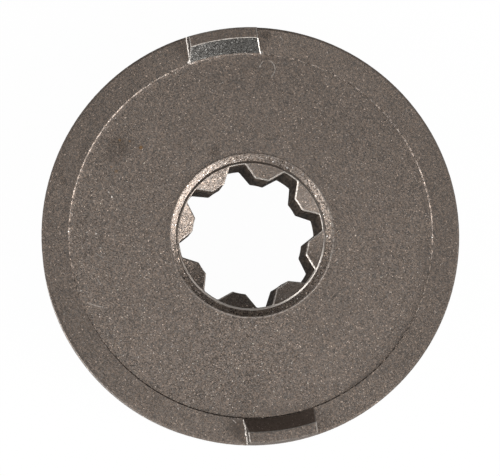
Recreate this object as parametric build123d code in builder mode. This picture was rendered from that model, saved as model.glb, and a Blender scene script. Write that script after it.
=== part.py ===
from build123d import *
from math import cos, radians, sin, tan
import os

# Rim sprocket of a chainsaw, pressed and sintered as one piece.
# It lies on its flat back face, the shaft runs along Z and a drive dog stands on +Y.
# Lengths are in millimetres and angles in degrees.

# Rim and front face
rim_diameter = 36.2
body_width = 9.0
rim_edge_break = 0.2
ring_width = 2.3
face_step_depth = 0.12
face_step_run = 0.1

# Chain track: two rails, with teeth and pockets for the drive links between them
pocket_count = 7
pocket_turn = 90.0
pocket_depth = 6.0
pocket_root_radius = 3.0
pocket_flank_angle = 29.0
track_width = 2.6
tooth_drop = 0.5
rail_lead_in = 0.5
tooth_crest_radius = 0.4

# Splined bore
spline_count = 8
spline_turn = 2.5
spline_root_diameter = 12.5
spline_depth = 1.2
spline_floor_width = 1.35
spline_flank_angle = 27.0
spline_corner_radius = 0.2
spline_edge_break = 0.12

# Countersunk mouths of the bore, with the fine ridges that the press leaves round the front one
tooth_end_slope = 28.0
front_mouth_run = 0.55
front_mouth_depth = 0.65
front_land = 0.21
tooth_ridge_height = 0.1
tooth_ridge_run = 0.07
mouth_ridge_height = 0.04
mouth_ridge_width = 0.17
back_mouth_run = 0.3
back_mouth_depth = 0.2

# Drive dogs on the ring, one each side of the bore
dog_width = 6.3
dog_height = 1.7
dog_draft = 6.0
dog_outer_lean = 0.25
dog_top_thickness = 0.9
dog_edge_radius = 0.12

# How far a cutting shape reaches past what it cuts
cut_overrun = 0.5

# Sizes that follow from the ones above
rim_radius = rim_diameter / 2
ring_inner_radius = rim_radius - ring_width
face_z = body_width - face_step_depth

track_middle = body_width / 2
track_top = track_middle + track_width / 2
track_bottom = track_middle - track_width / 2
tooth_top_radius = rim_radius - tooth_drop
pocket_floor_radius = rim_radius - pocket_depth

spline_root_radius = spline_root_diameter / 2
spline_tip_radius = spline_root_radius - spline_depth
core_radius = spline_tip_radius - cut_overrun

front_seat_radius = spline_root_radius + front_land
front_mouth_radius = front_seat_radius + front_mouth_run
front_seat_z = face_z - front_mouth_depth
mouth_ridge_radius = front_mouth_radius + mouth_ridge_width / 2
tooth_ridge_radius = front_seat_radius - tooth_ridge_run
tooth_ridge_z = front_seat_z + tooth_ridge_height
front_core_z = tooth_ridge_z - (tooth_ridge_radius - core_radius) * tan(radians(tooth_end_slope))
back_mouth_radius = spline_root_radius + back_mouth_run
back_core_z = back_mouth_depth + (spline_root_radius - core_radius) * tan(radians(tooth_end_slope))

dog_foot_z = body_width - rim_edge_break
dog_top_z = body_width + dog_height
dog_outer_top_radius = rim_radius - dog_outer_lean
dog_inner_top_radius = dog_outer_top_radius - dog_top_thickness

# Outline of one pocket: a round floor with flanks that open outwards, along +X
pocket_root_center = pocket_floor_radius + pocket_root_radius
pocket_tangent_radius = pocket_root_center - pocket_root_radius * sin(radians(pocket_flank_angle))
pocket_flank_length = (rim_radius + cut_overrun - pocket_tangent_radius) / cos(radians(pocket_flank_angle))

with BuildSketch() as pocket_outline:
    with BuildLine():
        floor = CenterArc(
            (pocket_root_center, 0),
            pocket_root_radius,
            90 + pocket_flank_angle,
            180 - 2 * pocket_flank_angle,
        )
        left_flank = PolarLine(floor @ 0, pocket_flank_length, pocket_flank_angle)
        right_flank = PolarLine(floor @ 1, pocket_flank_length, -pocket_flank_angle)
        Line(left_flank @ 1, right_flank @ 1)
    make_face()

# Outline of one spline groove: a trapezium whose floor lies outside the root circle, along +X
groove_inner_radius = core_radius
groove_outer_radius = spline_root_radius + cut_overrun
groove_spread = tan(radians(spline_flank_angle))
groove_inner_half = spline_floor_width / 2 + (spline_root_radius - groove_inner_radius) * groove_spread
groove_outer_half = spline_floor_width / 2 - cut_overrun * groove_spread

with BuildSketch() as groove_outline:
    with BuildLine():
        Polyline(
            (groove_inner_radius, -groove_inner_half),
            (groove_outer_radius, -groove_outer_half),
            (groove_outer_radius, groove_outer_half),
            (groove_inner_radius, groove_inner_half),
            close=True,
        )
    make_face()

# Drive dogs: a ring with leaning walls, kept only where a long drafted bar crosses it
with BuildPart() as dogs:
    with BuildSketch(Plane.XZ):
        with BuildLine():
            Polyline(
                (ring_inner_radius, dog_foot_z),
                (rim_radius, dog_foot_z),
                (dog_outer_top_radius, dog_top_z),
                (dog_inner_top_radius, dog_top_z),
                (ring_inner_radius, body_width),
                close=True,
            )
        make_face()
    revolve(axis=Axis.Z)
    with BuildSketch(Plane.XY.offset(dog_foot_z)):
        Rectangle(dog_width, 2 * rim_diameter)
    extrude(amount=dog_top_z - dog_foot_z + cut_overrun, taper=dog_draft, mode=Mode.INTERSECT)
    dog_walls = dogs.faces().filter_by(GeomType.CONE)
    dog_corners = dog_walls.edges().filter_by(GeomType.LINE)
    fillet(dogs.edges().group_by(Axis.Z)[-1] + dog_corners, dog_edge_radius)

with BuildPart() as rim_sprocket:
    # Half section of the pressed blank, turned about the shaft
    with BuildSketch(Plane.XZ):
        with BuildLine():
            Polyline(
                (core_radius, back_core_z),
                (spline_root_radius, back_mouth_depth),
                (back_mouth_radius, 0),
                (rim_radius - rim_edge_break, 0),
                (rim_radius, rim_edge_break),
                (rim_radius, track_bottom - rail_lead_in),
                (tooth_top_radius, track_bottom),
                (tooth_top_radius, track_top),
                (rim_radius, track_top + rail_lead_in),
                (rim_radius, body_width - rim_edge_break),
                (rim_radius - rim_edge_break, body_width),
                (ring_inner_radius, body_width),
                (ring_inner_radius - face_step_run, face_z),
                (front_mouth_radius + mouth_ridge_width, face_z),
                (mouth_ridge_radius, face_z + mouth_ridge_height),
                (front_mouth_radius, face_z),
                (front_seat_radius, front_seat_z),
                (tooth_ridge_radius, tooth_ridge_z),
                (core_radius, front_core_z),
                close=True,
            )
        make_face()
    revolve(axis=Axis.Z)

    # Pockets for the chain's drive links, with rounded crests on the teeth between them
    with BuildSketch(Plane.XY.offset(track_middle)):
        with PolarLocations(0, pocket_count, start_angle=pocket_turn):
            add(pocket_outline.sketch)
    extrude(amount=track_width / 2, both=True, mode=Mode.SUBTRACT)
    pocket_edges = rim_sprocket.edges(Select.LAST).filter_by(Axis.Z)
    fillet(pocket_edges.group_by(SortBy.DISTANCE)[-1], tooth_crest_radius)

    # Spline: the circle over the tooth tips and the grooves between the teeth
    with BuildSketch() as spline:
        with PolarLocations(0, spline_count, start_angle=spline_turn):
            add(groove_outline.sketch)
        Circle(spline_root_radius, mode=Mode.INTERSECT)
        Circle(spline_tip_radius)
        fillet(spline.vertices(), spline_corner_radius)
    extrude(amount=body_width, mode=Mode.SUBTRACT)
    spline_ends = rim_sprocket.edges(Select.LAST).filter_by(Axis.Z, reverse=True)
    chamfer(spline_ends.filter_by_position(Axis.Z, track_middle, body_width), spline_edge_break)

    add(dogs.part)

rim_sprocket.part.label = "rim_sprocket"
os.makedirs("parts", exist_ok=True)
export_step(rim_sprocket.part, "parts/rim_sprocket.step")
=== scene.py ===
import math

import bmesh
import bpy
from mathutils import Matrix, Vector


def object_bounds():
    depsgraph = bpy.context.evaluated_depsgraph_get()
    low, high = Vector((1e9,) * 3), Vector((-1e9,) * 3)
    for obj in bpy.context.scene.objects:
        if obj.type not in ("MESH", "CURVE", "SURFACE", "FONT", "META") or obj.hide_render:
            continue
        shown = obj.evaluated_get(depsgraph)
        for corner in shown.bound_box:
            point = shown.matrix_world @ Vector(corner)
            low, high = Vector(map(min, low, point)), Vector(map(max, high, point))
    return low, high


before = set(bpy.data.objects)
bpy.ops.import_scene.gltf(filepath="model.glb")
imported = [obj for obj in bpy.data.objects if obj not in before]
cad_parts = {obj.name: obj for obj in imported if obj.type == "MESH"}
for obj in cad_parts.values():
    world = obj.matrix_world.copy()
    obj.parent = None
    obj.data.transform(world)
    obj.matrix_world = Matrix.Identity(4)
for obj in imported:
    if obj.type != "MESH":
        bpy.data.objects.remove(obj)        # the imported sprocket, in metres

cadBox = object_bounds()     # the box round the loaded sprocket; the size that the looks have to keep
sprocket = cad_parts["rim_sprocket"]
mm = 0.001               # metres in a millimetre
average = 0.5            # of a noise or of a random colour
print("sprocket loaded, box", [[round(v / mm, 2) for v in corner] for corner in cadBox])


class Wire:              # a shader socket that can stand in a sum
    def __init__(self, board, socket):
        self.board = board
        self.socket = socket

    def maths(self, operation, *values):
        return self.board.add("ShaderNodeMath", {"operation": operation}, dict(enumerate(values)))

    def __add__(self, other):
        return self.maths("ADD", self, other)

    def __radd__(self, other):
        return self.maths("ADD", other, self)

    def __sub__(self, other):
        return self.maths("SUBTRACT", self, other)

    def __rsub__(self, other):
        return self.maths("SUBTRACT", other, self)

    def __mul__(self, other):
        return self.maths("MULTIPLY", self, other)

    def __rmul__(self, other):
        return self.maths("MULTIPLY", other, self)

    def __truediv__(self, other):
        return self.maths("DIVIDE", self, other)

    def __pow__(self, other):
        return self.maths("POWER", self, other)

    def __neg__(self):
        return self.maths("MULTIPLY", self, -1.0)

    def __abs__(self):
        return self.maths("ABSOLUTE", self)

    def clip(self):                                 # held between 0 and 1
        return self.board.add("ShaderNodeClamp", {}, {0: self})

    def ramp(self, low, high):                      # 0 below low, 1 above high, smooth between
        steps = {0: self, 1: low, 2: high, 3: 0.0, 4: 1.0}
        return self.board.add("ShaderNodeMapRange", {"interpolation_type": "SMOOTHSTEP"}, steps)

    def band(self, low, high, soft):                # 1 between low and high
        return self.ramp(low - soft, low + soft) * (1 - self.ramp(high - soft, high + soft))

    def near(self, value, reach, core=0.4):         # 1 at a value, 0 further off than reach
        return 1 - abs(self - value).ramp(reach * core, reach)


class Board:             # the node tree of one material
    def __init__(self, owner):
        owner.use_nodes = True
        self.tree = owner.node_tree
        self.tree.nodes.clear()

    def add(self, kind, settings, inputs, output=0):
        node = self.tree.nodes.new(kind)
        for name, value in settings.items():
            setattr(node, name, value)
        for name, value in inputs.items():
            if isinstance(value, Wire):
                self.tree.links.new(value.socket, node.inputs[name])
            else:
                node.inputs[name].default_value = value
        return Wire(self, node.outputs[output]) if node.outputs else node

    def others(self, wire, output):                 # another output of the node behind a wire
        return Wire(self, wire.socket.node.outputs[output])

    def vector(self, operation, inputs, output=0):
        return self.add("ShaderNodeVectorMath", {"operation": operation}, inputs, output)

    def scaled(self, vector, factor):
        return self.vector("SCALE", {0: vector, "Scale": factor})

    def mix(self, factor, first, second, blend="MIX"):
        settings = {"data_type": "RGBA", "blend_type": blend}
        return self.add("ShaderNodeMix", settings, {0: factor, 6: first, 7: second}, 2)

    def turn(self, factor, first, second):          # from one direction towards another
        return self.add("ShaderNodeMix", {"data_type": "VECTOR"}, {0: factor, 4: first, 5: second}, 1)

    def noise(self, place, size, detail=2.0):       # about 0.5 on average, patches of a size in mm
        return self.add("ShaderNodeTexNoise", {}, {"Vector": place, "Scale": 1 / size, "Detail": detail})

    def cells(self, place, size):                   # a random colour in each grain of a size in mm
        return self.add("ShaderNodeTexVoronoi", {}, {"Vector": place, "Scale": 1 / size}, "Color")

    def dots(self, place, spacing, size):           # lone dots, scattered over the faces across the shaft
        settings = {"voronoi_dimensions": "2D"}
        inputs = {"Vector": place, "Scale": 1 / spacing}
        away = self.add("ShaderNodeTexVoronoi", settings, inputs, "Distance") * spacing
        return 1 - away.ramp(size / 4, size / 2)

    def split(self, wire, kind="ShaderNodeSeparateXYZ"):
        first = self.add(kind, {}, {0: wire})
        return first, self.others(first, 1), self.others(first, 2)

    def grey(self, level):
        return self.add("ShaderNodeCombineColor", {}, {0: level, 1: level, 2: level})


form = {                 # mm, where the pressed form turns from one surface to the next
    "middle": (-0.5, 0.5),                          # from one half of the part to the other
    "frontHeight": (8.5, 8.7),                      # face, ring and dogs lie above this
    "markHeight": (8.6, 8.7),
    "stepRadius": 15.75,
    "stepReach": 0.16,
    "stepHeight": (8.8, 9.03),
    # the band inside the step that carries a painted glow
    "stepGlow": (15.48, 15.72),
    "ringEdge": 0.1,
    "ringHeight": (9.1, 9.3),                       # the dogs rise above the ring from here
    "mouth": (6.5, 7.0),
    "mouthRidge": 7.095,
    "mouthRidgeReach": 0.12,
    "toothRidge": (6.31, 6.47),
    "toothRidgeHeight": (8.16, 8.38),
    "toothEnd": 6.33,
    "toothFront": (7.0, 7.2),
    "bore": (6.5, 6.6),
    "rim": (17.85, 17.9),
    "rimFront": (8.3, 9.2),
    "rimEdgeHeight": (8.7, 8.8),
}

facing = {               # how far a surface faces up, in or out where a finish begins and is whole
    "flat": (0.9, 0.97),
    "upright": (0.3, 0.5),
    "outwards": (0.6, 0.8),
    "step": (0.35, 0.6),
    "mouth": (0.5, 0.8),
    "mouthRidge": (0.86, 0.89),
    "toothEnd": (0.8, 0.86),
    "toothRidge": (0.2, 0.4),
    "rimEdge": (0.5, 0.85),
    "soft": 0.05,
}


class Spot:              # where a shaded point lies on the sprocket, in mm, and which way it faces
    def __init__(self, board):
        self.board = board
        place = board.add("ShaderNodeTexCoord", {}, {}, "Object")
        self.place = board.scaled(place, 1 / mm)
        self.x, self.y, self.z = board.split(self.place)
        self.radius = (self.x * self.x + self.y * self.y) ** 0.5
        across = board.vector("MULTIPLY", {0: self.place, 1: (1.0, 1.0, 0.0)})
        self.outward = board.vector("NORMALIZE", {0: across})
        self.normal = board.add("ShaderNodeTexCoord", {}, {}, "Normal")
        self.faceX, _, self.faceUp = board.split(self.normal)
        self.faceOut = board.vector("DOT_PRODUCT", {0: self.normal, 1: self.outward}, "Value")
        self.flat = self.faceUp.ramp(*facing["flat"])
        self.front = self.flat * self.z.ramp(*form["frontHeight"])
        self.side = 1 - abs(self.faceUp).ramp(*facing["upright"])
        self.outside = self.faceOut.ramp(*facing["outwards"])
        self.far = self.y.ramp(*form["middle"])     # 1 on the half with the +Y dog
        self.right = self.x.ramp(*form["middle"])

    def away(self, x, y):                           # distance from a point of the front face, in mm
        alongX = self.x - x
        alongY = self.y - y
        return (alongX * alongX + alongY * alongY) ** 0.5

    def patch(self, x, y, reach, core):             # 1 round a point of the front face, 0 out of reach
        return 1 - self.away(x, y).ramp(reach * core, reach)

    def towards(self, direction):                   # 1 on the side of the shaft that a direction points to
        return self.board.vector("DOT_PRODUCT", {0: self.outward, 1: direction}, "Value")

    def lobes(self, places):                        # soft bumps round the shaft, added up
        total = 0
        for bearing, width, gain in places:
            turn = math.radians(bearing)
            bump = self.towards((math.cos(turn), math.sin(turn), 0.0))
            total = total + bump.ramp(math.cos(math.radians(width)), 1.0) * gain
        return total

    def rings(self, width):                         # a place that changes fast along the radius only
        along = self.board.add("ShaderNodeCombineXYZ", {}, {2: self.radius / width})
        return self.board.vector("ADD", {0: self.outward, 1: along})


grain = {                # the pressed and sintered powder
    "warm": (0.236, 0.183, 0.147, 1.0),             # brown-grey of the pressed faces
    "cool": (0.196, 0.177, 0.163, 1.0),
    "size": 0.075,                                  # mm across one powder grain
    "contrast": 0.90,
    "glintSlant": (0.012, 0.013),                        # painted light: grain and glints stronger towards -X and -Y, per mm, where the low lamps make grains glint more
    "patches": [                                    # x, y, reach, gain: coarser and finer stretches
        (-2.5, -9.5, 6.0, 0.22),
        (6.5, -10.0, 7.0, -0.17),
        (-10.5, -5.0, 6.0, -0.12),
        (0.0, -15.2, 2.5, -0.30),
    ],
    "patchCore": 0.2,
    "tilt": 0.20,                                   # how far single grains lean out of the surface
    # painted glints: a few grains made bright in colour as if they caught a lamp
    "sparkRarity": 80.0,
    "sparkLevel": 4.0,
    "sparkSpread": (0.4, 1.2),                      # painted glints everywhere, and more in cloudy patches
    "ringSparks": 0.55,
    "onRing": 0.80,
    "onFarWall": 1.1,                               # extra grain on the inner wall of the +Y dog
    "onNearWall": -0.4,                             # and less on that of the other
    "onMouth": 0.9,
    "onSlidSides": 0.45,
    "speckSpacing": 2.8,                            # mm between the few bright specks, painted glints of single grains
    "speckSize": 0.15,
    "speckLevel": 1.1,
    "cloudSize": 0.9,
    "cloudDetail": 3.0,
    "cloudContrast": 0.24,
    "mottleSize": 5.0,
    "mottleContrast": 0.18,
    "arcWidth": 0.16,                               # faint rings left by the press tool
    "arcContrast": 0.16,
}

tones = {                # levels of single surfaces, with painted light and shade; lobes are bearing, half width, gain
    "ring": 0.87,                                   # rubbed smoother and darker than the face
    # painted light and shade on the ring at these bearings, paler mostly beside the dogs
    "ringLightLobes": [
        (66.4, 66.4, 0.20),
        (252.0, 28.0, 0.11),
        (76.0, 8.0, 0.08),
        (292.0, 22.0, 0.08),
        (197.0, 18.0, -0.08),
    ],
    "tooth": 0.80,
    # painted highlights and shade round the mouth's band
    "mouthLightLobes": [
        (150.0, 26.0, 0.18),
        (54.0, 18.0, -0.20),
        (84.0, 14.0, 0.17),
        (322.0, 20.0, 0.28),
    ],
    # painted shade and light on the step's slope: darker overall, paler towards +X and at some bearings
    "step": 0.72,
    "stepLightSlant": 0.28,                              # painted light, paler towards +X
    "stepBeads": 0.3,                               # mm, the step's painted tone is a broken line
    "beadEdge": (0.35, 0.65),
    "beadBase": 0.5,
    "underDog": (3.0, 3.2),                         # and whole below the +Y dog
    "underDogBeads": 0.80,
    "stepLightLobes": [
        (-18.5, 32.0, 0.50),
        (-31.5, 18.0, 0.40),
        (36.5, 25.0, -0.28),
        (111.5, 10.0, -0.20),
        (163.5, 62.0, 0.32),
        (199.5, 18.0, 0.35),
    ],
    "glowLobes": [                              # painted highlight: a soft pale glow inside the step, at these bearings
        (2.0, 32.0, 0.22),
        (132.0, 58.0, 0.32),
    ],
    "glowSoft": 0.06,
    "litPatchBeforeDog": (0.0, -15.1, 3.0),                # x, y, reach of a painted pool of light on the face before the -Y dog, lifting the shade that dog casts
    "litPatchCore": 0.3,
    "litPatchGain": 0.13,
    "rimPaintedShade": [                                   # painted shade on the rim's front edge, at the bearings where the lamps light it
        (201.5, 26.0, -0.40),
        (321.0, 22.0, -0.25),
    ],
    "rimSoft": 0.2,
    "fine": 0.02,                                   # mm over which a sharp border fades
    "toothFade": 0.05,
}


def powderGrain(spot, s, dogWall, onRing, onMouth):
    board = spot.board
    cells = board.cells(spot.place, s["size"])
    powder, tint, spark = board.split(cells, "ShaderNodeSeparateColor")
    cloud = board.noise(spot.place, s["cloudSize"], s["cloudDetail"])
    mottle = board.noise(spot.place, s["mottleSize"])
    arcs = board.noise(spot.rings(s["arcWidth"]), 1.0, 1.0)
    sparkBase, sparkClouds = s["sparkSpread"]
    # painted glints of single grains, fewer on the ring
    paintedGlints = spark ** s["sparkRarity"] * s["sparkLevel"] * (sparkBase + cloud * sparkClouds)
    paintedGlints = paintedGlints * (1 - onRing * (1 - s["ringSparks"]))
    # grain and painted glints grow towards -X and -Y
    strength = 1 - spot.x * s["glintSlant"][0] - spot.y * s["glintSlant"][1]
    for x, y, reach, gain in s["patches"]:
        strength = strength + spot.patch(x, y, reach, s["patchCore"]) * gain
    onWall = dogWall * (spot.far * (s["onFarWall"] - s["onNearWall"]) + s["onNearWall"])
    strength = strength * (1 - onRing * (1 - s["onRing"])) * (1 + onWall + onMouth * s["onMouth"])
    strength = strength * (1 - spot.outside * (1 - s["onSlidSides"]))
    level = 1 + ((powder - average) * s["contrast"] + paintedGlints) * strength
    level = level + (cloud - average) * s["cloudContrast"] + (mottle - average) * s["mottleContrast"]
    level = level + (arcs - average) * s["arcContrast"]
    # a few bright specks on the front, painted glints
    specks = board.dots(spot.place, s["speckSpacing"], s["speckSize"])
    level = level + specks * spot.front * s["speckLevel"]
    lean = board.vector("SUBTRACT", {0: cells, 1: (average, average, average)})
    lean = board.scaled(lean, s["tilt"])
    normal = board.vector("ADD", {0: spot.normal, 1: lean})
    return board.mix(tint, s["warm"], s["cool"]), level, normal


def surfaceTone(spot, s, onRing, onMouth):          # what the grain's level is multiplied by: tones of single surfaces, and painted light and shade
    beads = spot.board.noise(spot.place, s["stepBeads"], 1.0).ramp(*s["beadEdge"])
    # painted highlight just inside the step, broken like the step
    stepGlow = spot.radius.band(*form["stepGlow"], s["glowSoft"]) * spot.front * (s["beadBase"] + beads)
    tone = 1 + stepGlow * spot.lobes(s["glowLobes"])
    # painted light on the face before the -Y dog
    paintedLightMask = spot.patch(*s["litPatchBeforeDog"], s["litPatchCore"]) * spot.front * (1 - onRing)
    tone = tone * (1 + paintedLightMask * s["litPatchGain"])

    # painted light and shade on the ring by bearing, not on the dogs
    paintedRingLight = spot.lobes(s["ringLightLobes"]) * (1 - spot.z.ramp(*form["ringHeight"]))
    tone = tone * (1 - onRing * (1 - s["ring"] - paintedRingLight))
    onTooth = 1 - spot.radius.ramp(form["toothEnd"], form["toothEnd"] + s["toothFade"])
    onTooth = onTooth * spot.faceUp.ramp(*facing["toothEnd"])
    tone = tone * (1 - onTooth * (1 - s["tooth"]))

    onStep = spot.radius.near(form["stepRadius"], form["stepReach"]) * (-spot.faceOut).ramp(*facing["step"])
    onStep = onStep * spot.z.band(*form["stepHeight"], s["fine"])
    underDog = (1 - abs(spot.x).ramp(*s["underDog"])) * spot.far
    # painted shade and light along the step, broken into beads
    step = s["step"] * (s["beadBase"] + beads * (1 - underDog) + underDog * s["underDogBeads"])
    step = step * (1 + spot.x / spot.radius * s["stepLightSlant"]) * (1 + spot.lobes(s["stepLightLobes"]))
    tone = tone * (1 - onStep * (1 - step))

    # painted highlights and shade on the mouth's band, by bearing
    tone = tone * (1 + onMouth * spot.lobes(s["mouthLightLobes"]))
    # painted shade on the rim's front edge at two bearings
    onRim = spot.radius.ramp(*form["rim"]) * spot.z.band(*form["rimFront"], s["rimSoft"])
    return tone * (1 + onRim * spot.lobes(s["rimPaintedShade"]))


marks = {                # mm on the front face: x, y, reach, strength
    "stainsAndShadows": [
        (-10.5, 8.85, 1.6, 0.30),
        (-9.7, 9.3, 1.0, 0.22),
        (-2.06, 7.54, 0.6, 0.40),
        (-15.42, 7.11, 0.9, 0.28),
        # painted shade on the ring, on the +X side of the +Y dog
        (3.86, 17.07, 0.6, 0.40),
        # painted shadow on the ring, on the -X side of the -Y dog
        (-3.88, -16.25, 0.9, 0.25),
    ],
    "rust": [
        (-10.07, 9.78, 0.14, 0.60),
        (-9.22, 9.56, 0.14, 0.60),
        (-8.37, 8.90, 0.21, 0.85),
        (-11.13, 7.57, 0.14, 0.60),
        (-10.73, 7.17, 0.22, 0.40),
    ],
    "raggedSize": 0.7,
    "raggedDetail": 4.0,
    "raggedReach": 1.6,
    "raggedCore": 0.3,
    "chips": [           # bare metal at the feet of the dogs and on the face
        (3.21, 15.60, 0.18, 1.0),
        (2.90, 14.40, 0.10, 0.8),
        (-11.45, 5.01, 0.11, 0.8),
        (-11.65, 5.47, 0.09, 0.6),
        (-13.26, 2.08, 0.10, 0.7),
        (-3.16, 15.60, 0.20, 1.0),
    ],
    "chipCore": 0.4,
    "scratches": [       # x, y, heading in degrees, length, bend radius, strength
        (4.17, 14.10, 88.0, 1.8, 0.80, 0.60),
        (3.03, 14.62, 50.0, 0.7, -0.76, 0.55),
        (5.13, 16.55, -55.0, 0.45, 9.0, 1.0),
        (-3.88, -15.63, -53.0, 0.50, 9.0, 0.70),
        (-13.22, 0.15, -39.0, 1.0, 5.0, 0.35),
        (-13.60, -2.06, -66.0, 0.8, 5.0, 0.35),
        (-14.19, -4.03, -24.0, 1.6, 6.0, 0.45),
    ],
    "scratchWidth": 0.042,
    "scratchCore": 0.7,
}


def scattered(spot, s, kind):                       # ragged round patches
    ragged = (spot.board.noise(spot.place, s["raggedSize"], s["raggedDetail"]) - average) * s["raggedReach"]
    total = 0
    for x, y, reach, strength in s[kind]:
        away = spot.away(x, y) + ragged * reach
        total = total + (1 - away.ramp(reach * s["raggedCore"], reach)) * strength
    return (total * spot.z.ramp(*form["markHeight"])).clip()


def chipped(spot, s):                               # small round spots
    total = 0
    for x, y, reach, strength in s["chips"]:
        total = total + spot.patch(x, y, reach, s["chipCore"]) * strength
    return (total * spot.z.ramp(*form["markHeight"])).clip()


def scratched(spot, s):                             # short arcs, each a piece of a circle
    total = 0
    for x, y, heading, length, bend, strength in s["scratches"]:
        turn = math.radians(heading)
        line = spot.away(x - math.sin(turn) * bend, y + math.cos(turn) * bend)
        line = line.near(abs(bend), s["scratchWidth"])
        total = total + line * spot.patch(x, y, length / 2, s["scratchCore"]) * strength
    return (total * spot.front).clip()


dogs = {                 # mm for places, shares for wear, ends of a ramp for how a surface faces
    "halfWidth": 3.15,
    "footHeight": 8.8,
    "draft": 0.105,                                 # how much the flanks lean in for each mm of height
    "radius": (15.60, 15.65),
    "foot": (9.02, 9.08),
    "edgeFoot": (9.03, 9.08),
    "wallHeight": (9.02, 9.1),
    "wallFacing": (0.68, 0.76),
    "wallEdgeFacing": (0.3, 0.5),
    "cornerWear": 0.12,                             # bare metal beside the corners of the inner wall
    "cornerCore": 0.6,
    "cornerRight": (0.3, 0.5),                      # wear of the right corner: everywhere, in ragged spots
    "cornerLeft": 0.5,
    "cornerNear": 0.2,                              # and of the other dog
    "flankFoot": (9.75, 9.90),                      # the left flank of the +Y dog is bare up to here
    "footRagged": 0.4,
    "footWear": (0.5, 0.5),
    "flankChips": (10.1, 10.3),                     # and that of the other dog is chipped up to here
    "chipsRagged": 0.6,
    "chipsWear": (0.3, 0.7),
    "fleckSize": 0.16,
    "fleckEdge": (0.40, 0.56),
    "topPlain": (0.94, 0.985),                      # a dog's plain surfaces, all else is edge
    "wallPlain": (0.72, 0.79),
    "flankPlain": (0.97, 0.988),
    "outerPlain": (0.95, 0.985),
    "outerFacing": (0.1, 0.3),
    "outerWear": 0.12,
    "edgeWear": (0.35, 0.65),
    "outerHeight": (9.0, 9.2),
    "topEdgeHeight": (10.5, 10.56),
    "topEdgeFacing": (0.1, 0.93),
    "topEdgeGain": 1.2,
}

# bright bare colour on the spline's front edges: part wear, part painted highlight
spline = {
    "edgeFacing": (0.3, 0.78),
    "edgeSoft": 0.06,
    "shaded": (0.0, 0.3),                           # edges that face +X lie in shade and get little of the painted highlight
    "shadedShare": 0.85,
    "wear": (0.25, 0.75),
}


def dogWear(spot, s, ragged):                       # bare corners of the inner walls, bare left flanks
    half = s["halfWidth"] - (spot.z - s["footHeight"]) * s["draft"]
    inside = half - abs(spot.x)
    above = spot.z.ramp(*s["foot"])
    wall = (-spot.faceOut).ramp(*s["wallEdgeFacing"]) * above
    wall = wall * (1 - inside.ramp(s["cornerWear"] * s["cornerCore"], s["cornerWear"]))
    rightWear = s["cornerRight"][0] + ragged * s["cornerRight"][1]
    farWear = spot.right * rightWear + (1 - spot.right) * ragged * s["cornerLeft"]
    corner = wall * (spot.far * farWear + (1 - spot.far) * s["cornerNear"])
    foot = 1 - (spot.z + ragged * s["footRagged"]).ramp(*s["flankFoot"])
    foot = foot * (s["footWear"][0] + ragged * s["footWear"][1])
    chips = 1 - (spot.z + ragged * s["chipsRagged"]).ramp(*s["flankChips"])
    chips = chips * (s["chipsWear"][0] + ragged * s["chipsWear"][1])
    flecks = spot.board.noise(spot.place, s["fleckSize"], 1.0).ramp(*s["fleckEdge"])
    flank = spot.far * foot + (1 - spot.far) * chips * flecks
    return corner, (-spot.faceX).ramp(*facing["flat"]) * above * flank


def dogEdges(spot, s, ragged):
    onDog = spot.z.ramp(*s["edgeFoot"]) * spot.radius.ramp(*s["radius"])
    plain = spot.faceUp.ramp(*s["topPlain"]) + (-spot.faceOut).ramp(*s["wallPlain"])
    plain = plain + abs(spot.faceX).ramp(*s["flankPlain"]) + spot.faceOut.ramp(*s["outerPlain"])
    outer = spot.faceOut.ramp(*s["outerFacing"])
    wear = s["edgeWear"][0] + ragged * s["edgeWear"][1]
    return onDog * (1 - plain.clip()) * wear * (1 - outer * (1 - ragged * s["outerWear"]))


# bare colour on the spline's front edges, part painted highlight, held back where they face +X
def splineEdges(spot, s, ragged):
    onTooth = 1 - spot.radius.ramp(form["toothEnd"] - tones["fine"], form["toothEnd"] + tones["fine"])
    edge = spot.faceUp.band(*s["edgeFacing"], s["edgeSoft"]) * onTooth * spot.z.ramp(*form["toothFront"])
    edge = edge * (1 - spot.faceX.ramp(*s["shaded"]) * s["shadedShare"])
    return edge * (s["wear"][0] + ragged * s["wear"][1])


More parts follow.
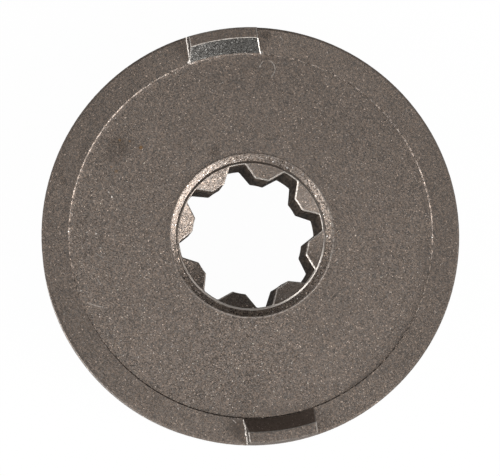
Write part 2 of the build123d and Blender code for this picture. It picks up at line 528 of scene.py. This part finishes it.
finish = {
    "metallic": 0.85,
    "roughness": 0.45,
    "specular": 0.05,
    "grazing": (0.30, 0.30, 0.30, 1.0),             # a rough pressed face glares little at low angles
    "boreShadeDark": (0.030, 0.020, 0.014, 1.0),         # painted shade: near-black colour on the walls of the bore, where little light reaches
    "boreShadePale": (0.130, 0.100, 0.078, 1.0),
    "borePatches": (0.35, 0.7),
    "boreRough": 0.35,
    "farWallShade": (0.084, 0.087, 0.085, 1.0),          # painted shade: dark grey inner wall of the +Y dog
    "nearWallShade": (0.088, 0.066, 0.054, 1.0),         # and a brown one for the other dog, also painted shade; each stands in for how its wall is lit
    "wallShare": 0.85,
    "nearWallMatt": 0.7,
    "rimColour": (0.064, 0.055, 0.049, 1.0),        # sides that slid along the die
    "rimShare": 0.9,
    "sideMatt": 0.4,
    "dogOuterRough": 0.4,
    "streakSize": 0.3,                              # mm, streaks along the die's stroke
    "streakDetail": 3.0,
    "streakStretch": (1.0, 1.0, 0.12),
    "streakLevel": 0.8,
    "streakRough": 0.2,
    "raggedSize": 0.22,                             # mm, wear comes and goes along an edge
    "raggedEdge": (0.34, 0.62),
    "wearColour": (0.80, 0.74, 0.68, 1.0),          # bare metal, also the colour of painted highlights on ridges and spline edges
    "wearShare": 0.85,
    "wearMetal": 0.1,
    "wearSmooth": 0.13,
    "wearRound": 1.6,                               # how far a worn edge is rounded upwards
    "wearAside": 0.8,                               # and a worn corner of a dog sideways
    "ridgeLitSide": (0.59, -0.80, 0.0),              # painted highlight: the ridges get the bare colour towards this side, where the light falls
    "ridgeSpread": (-0.6, 0.8),
    # a little wear all round the tooth ridge, and painted highlight on its lit side
    "toothRidgeWearAndHighlight": (0.08, 0.92),
    "toothRidgeSoft": 0.012,
    "toothRidgeLean": (0.385, 0.923),               # outwards, up
    # painted highlight on the mouth's ridge, raggedly, on the lit side
    "mouthRidgeHighlight": 0.3,
    "mouthRidgeFlat": 0.6,
    "edgeFlat": (0.95, 0.15),                       # rim edges catch light as the face does, but raggedly
    "stainAndShadowColour": (0.075, 0.060, 0.049, 1.0),
    "rustColour": (0.220, 0.120, 0.045, 1.0),
}
straightUp = (0.0, 0.0, 1.0)


def makeSteel(f):
    material = bpy.data.materials.new("sinteredSteel")
    board = Board(material)
    spot = Spot(board)
    dogWall = (-spot.faceOut).ramp(*dogs["wallFacing"]) * spot.z.ramp(*dogs["wallHeight"])
    onRing = spot.radius.ramp(form["stepRadius"], form["stepRadius"] + form["ringEdge"]) * spot.flat
    onMouth = spot.radius.band(*form["mouth"], tones["fine"])
    onMouth = onMouth * spot.faceUp.band(*facing["mouth"], facing["soft"])
    colour, level, normal = powderGrain(spot, grain, dogWall, onRing, onMouth)
    level = level * surfaceTone(spot, tones, onRing, onMouth)

    slid = spot.side * spot.outside
    stretched = board.vector("MULTIPLY", {0: spot.place, 1: f["streakStretch"]})
    streaks = board.noise(stretched, f["streakSize"], f["streakDetail"])
    ragged = board.noise(spot.place, f["raggedSize"]).ramp(*f["raggedEdge"])
    # painted shade: each dog's inner wall in its own darker colour
    paintedWallShade = board.mix(spot.far, f["nearWallShade"], f["farWallShade"])
    colour = board.mix(dogWall * f["wallShare"], colour, paintedWallShade)
    colour = board.mix(spot.side * f["rimShare"], colour, f["rimColour"])
    level = level * (1 + spot.side * (streaks - average) * f["streakLevel"])
    colour = board.mix(1.0, colour, board.grey(level), "MULTIPLY")
    # real stains, and painted shade beside both dogs
    colour = board.mix(scattered(spot, marks, "stainsAndShadows"), colour, f["stainAndShadowColour"])
    colour = board.mix(scattered(spot, marks, "rust"), colour, f["rustColour"])

    toothRidge = spot.radius.band(*form["toothRidge"], f["toothRidgeSoft"])
    toothRidge = toothRidge * spot.z.band(*form["toothRidgeHeight"], tones["fine"])
    toothRidge = toothRidge * spot.faceUp.ramp(*facing["toothRidge"])
    mouthRidge = spot.radius.near(form["mouthRidge"], form["mouthRidgeReach"])
    mouthRidge = mouthRidge * spot.faceUp.ramp(*facing["mouthRidge"])
    corner, flank = dogWear(spot, dogs, ragged)
    chips = chipped(spot, marks)
    # wear on the dogs, and bare colour on the spline edges that is part painted highlight
    edgeWearAndHighlight = (splineEdges(spot, spline, ragged) + dogEdges(spot, dogs, ragged)).clip()
    wearAndSplineHighlight = (edgeWearAndHighlight + corner + flank + chips).clip()
    # painted highlight on the ridges, towards the lit side
    paintedLightMask = spot.towards(f["ridgeLitSide"]).ramp(*f["ridgeSpread"])
    ridgeBase, ridgeHighlight = f["toothRidgeWearAndHighlight"]
    bareAndPaintedHighlight = wearAndSplineHighlight + toothRidge * (ridgeBase + paintedLightMask * ridgeHighlight)
    bareAndPaintedHighlight = bareAndPaintedHighlight + mouthRidge * paintedLightMask * ragged * f["mouthRidgeHighlight"]
    bareAndPaintedHighlight = (bareAndPaintedHighlight + scratched(spot, marks)).clip()
    # bare metal where worn, chipped or scratched, and painted highlights on ridges and spline edges
    colour = board.mix(bareAndPaintedHighlight * f["wearShare"], colour, f["wearColour"])

    # painted shade on the walls of the bore, in streaked patches
    inBore = (1 - spot.radius.ramp(*form["bore"])) * spot.side
    paintedBoreShade = board.mix(streaks.ramp(*f["borePatches"]), f["boreShadeDark"], f["boreShadePale"])
    colour = board.mix(inBore, colour, paintedBoreShade)

    leanOut, leanUp = f["toothRidgeLean"]
    leaning = board.vector("ADD", {0: board.scaled(spot.outward, leanOut), 1: (0.0, 0.0, leanUp)})
    normal = board.turn(mouthRidge * f["mouthRidgeFlat"], normal, straightUp)
    normal = board.turn(toothRidge, normal, leaning)
    rimEdge = spot.radius.ramp(*form["rim"]) * spot.faceUp.band(*facing["rimEdge"], facing["soft"])
    rimEdge = rimEdge * spot.z.ramp(*form["rimEdgeHeight"])
    topEdge = spot.faceOut.band(*dogs["topEdgeFacing"], facing["soft"])
    topEdge = topEdge * spot.z.ramp(*dogs["topEdgeHeight"])
    flattened = (rimEdge + topEdge * dogs["topEdgeGain"]).clip()
    flattened = flattened * (f["edgeFlat"][0] - ragged * f["edgeFlat"][1])
    normal = board.turn(flattened, normal, straightUp)
    aside = (corner + chips) * (spot.right * 2 - 1) * f["wearAside"]
    rounding = board.add("ShaderNodeCombineXYZ", {}, {0: aside, 2: wearAndSplineHighlight * f["wearRound"]})
    normal = board.vector("NORMALIZE", {0: board.vector("ADD", {0: normal, 1: rounding})})

    matt = slid + spot.side * f["sideMatt"] + dogWall * (1 - spot.far) * f["nearWallMatt"]
    matt = inBore + (1 - wearAndSplineHighlight) * matt
    rough = f["roughness"] + inBore * f["boreRough"] - bareAndPaintedHighlight * f["wearSmooth"]
    rough = rough + (streaks - average) * spot.side * f["streakRough"]
    rough = rough + slid * spot.z.ramp(*dogs["outerHeight"]) * f["dogOuterRough"]
    shader = board.add("ShaderNodeBsdfPrincipled", {}, {
        "Base Color": colour,
        "Metallic": f["metallic"] * (1 - matt.clip()) + wearAndSplineHighlight * f["wearMetal"],
        "Roughness": rough,
        "Specular IOR Level": f["specular"],
        "Specular Tint": f["grazing"],
        "Normal": normal,
    })
    board.add("ShaderNodeOutputMaterial", {}, {"Surface": shader})
    return material


steelMaterial = makeSteel(finish)
for slot in sprocket.material_slots:
    slot.material = steelMaterial
print("steel on", sprocket.name)


floorSettings = {
    "reach": 3.0,        # m
    "segments": 64,
    "colour": (0.85, 0.85, 0.84, 1.0),
    "white": 0.98,       # how far the picture's white hides the floor's own shade
}


def makeFloor(s):
    mesh = bpy.data.meshes.new("floor")
    bm = bmesh.new()
    bmesh.ops.create_circle(bm, cap_ends=True, segments=s["segments"], radius=s["reach"])
    bm.to_mesh(mesh)
    bm.free()
    floor = bpy.data.objects.new("floor", mesh)
    bpy.context.scene.collection.objects.link(floor)

    material = bpy.data.materials.new("paleFloor")
    board = Board(material)
    camera = board.add("ShaderNodeLightPath", {}, {}, "Is Camera Ray")
    glossy = board.others(camera, "Is Glossy Ray")
    through = board.others(camera, "Is Transmission Ray")
    seen = (camera + glossy + through).clip() * s["white"]
    matt = board.add("ShaderNodeBsdfDiffuse", {}, {"Color": s["colour"]})
    white = board.add("ShaderNodeEmission", {}, {"Strength": 1.0})
    both = board.add("ShaderNodeMixShader", {}, {0: seen, 1: matt, 2: white})
    board.add("ShaderNodeOutputMaterial", {}, {"Surface": both})
    mesh.materials.append(material)


makeFloor(floorSettings)
print("floor laid")


lampDistance = 0.7       # m from the sprocket's middle
lamps = {                # degrees from +X and up, m wide and tall, level 1 shows a colour as written
    "keyStrip": {"bearing": -34.0, "height": 11.0, "wide": 0.95, "tall": 0.22, "level": 2.45},
    "sideStrip": {"bearing": 197.0, "height": 11.0, "wide": 0.75, "tall": 0.22, "level": 0.70},
    "frontStrip": {"bearing": 254.0, "height": 20.0, "wide": 0.40, "tall": 0.25, "level": 0.24},
    "keySoft": {"bearing": -37.0, "height": 40.0, "wide": 0.35, "tall": 0.35, "level": 0.44},
    "sideSoft": {"bearing": 188.0, "height": 43.0, "wide": 0.45, "tall": 0.35, "level": 0.36},
    "backStrip": {"bearing": 115.0, "height": 22.0, "wide": 0.60, "tall": 0.22, "level": 0.16},
    "topSoft": {"bearing": 230.0, "height": 78.0, "wide": 0.38, "tall": 0.38, "level": 0.132},
}
worldShade = (0.02, 0.02, 0.02, 1.0)


def hangLamp(name, s, target):
    lamp = bpy.data.lights.new(name, "AREA")
    lamp.shape = "RECTANGLE"
    lamp.size = s["wide"]
    lamp.size_y = s["tall"]
    lamp.energy = s["level"] * (math.pi * lampDistance) ** 2
    bearing = math.radians(s["bearing"])
    height = math.radians(s["height"])
    across = math.cos(height)
    out = Vector((math.cos(bearing) * across, math.sin(bearing) * across, math.sin(height)))
    holder = bpy.data.objects.new(name, lamp)
    holder.location = target + out * lampDistance
    holder.rotation_mode = "QUATERNION"
    holder.rotation_quaternion = out.to_track_quat("Z", "Y")
    holder.visible_camera = False
    bpy.context.scene.collection.objects.link(holder)


cameraSettings = {
    "imageWidth": 500,               # px
    "imageHeight": 476,
    "ringCentre": (251.8, 235.2),    # px, where the shaft meets the ring's plane
    "pixelsPerMm": 11.587,           # on the ring's plane
    "ringHeight": 9.0 * mm,
    "distance": 220.0 * mm,
    "tilt": 5.7,                     # degrees that the shaft leans away from the view
    "lean": 40.2,                    # towards this direction of the picture
    "roll": 8.45,
    "sensor": 36.0,                  # mm
    "clip": (0.01, 20.0),            # m
}


def placeCamera(s):
    lean = math.radians(s["lean"])
    leanAxis = Vector((-math.sin(lean), math.cos(lean), 0.0))
    roll = Matrix.Rotation(math.radians(s["roll"]), 3, "Z")
    tilt = Matrix.Rotation(math.radians(s["tilt"]), 3, leanAxis)
    turn = (tilt @ roll).transposed()
    right, up, back = turn.col[0], turn.col[1], turn.col[2]
    aside = (s["ringCentre"][0] - s["imageWidth"] / 2) / s["pixelsPerMm"] * mm
    above = (s["imageHeight"] / 2 - s["ringCentre"][1]) / s["pixelsPerMm"] * mm
    ring = Vector((0.0, 0.0, s["ringHeight"]))
    camera = bpy.data.cameras.new("camera")
    camera.sensor_width = s["sensor"]
    camera.lens = s["distance"] / mm * s["pixelsPerMm"] * s["sensor"] / s["imageWidth"]
    camera.clip_start, camera.clip_end = s["clip"]
    holder = bpy.data.objects.new("camera", camera)
    place = ring + back * s["distance"] - right * aside - up * above
    holder.matrix_world = Matrix.Translation(place) @ turn.to_4x4()
    bpy.context.scene.collection.objects.link(holder)
    bpy.context.scene.camera = holder


def lightStudio():
    world = bpy.data.worlds.new("studio")
    bpy.context.scene.world = world
    board = Board(world)
    shade = board.add("ShaderNodeBackground", {}, {"Color": worldShade})
    board.add("ShaderNodeOutputWorld", {}, {"Surface": shade})
    middle = (cadBox[0] + cadBox[1]) / 2
    for name, settings in lamps.items():
        hangLamp(name, settings, middle)


lightStudio()
placeCamera(cameraSettings)
bpy.context.scene.view_settings.view_transform = "Standard"
print("lamps and camera placed")
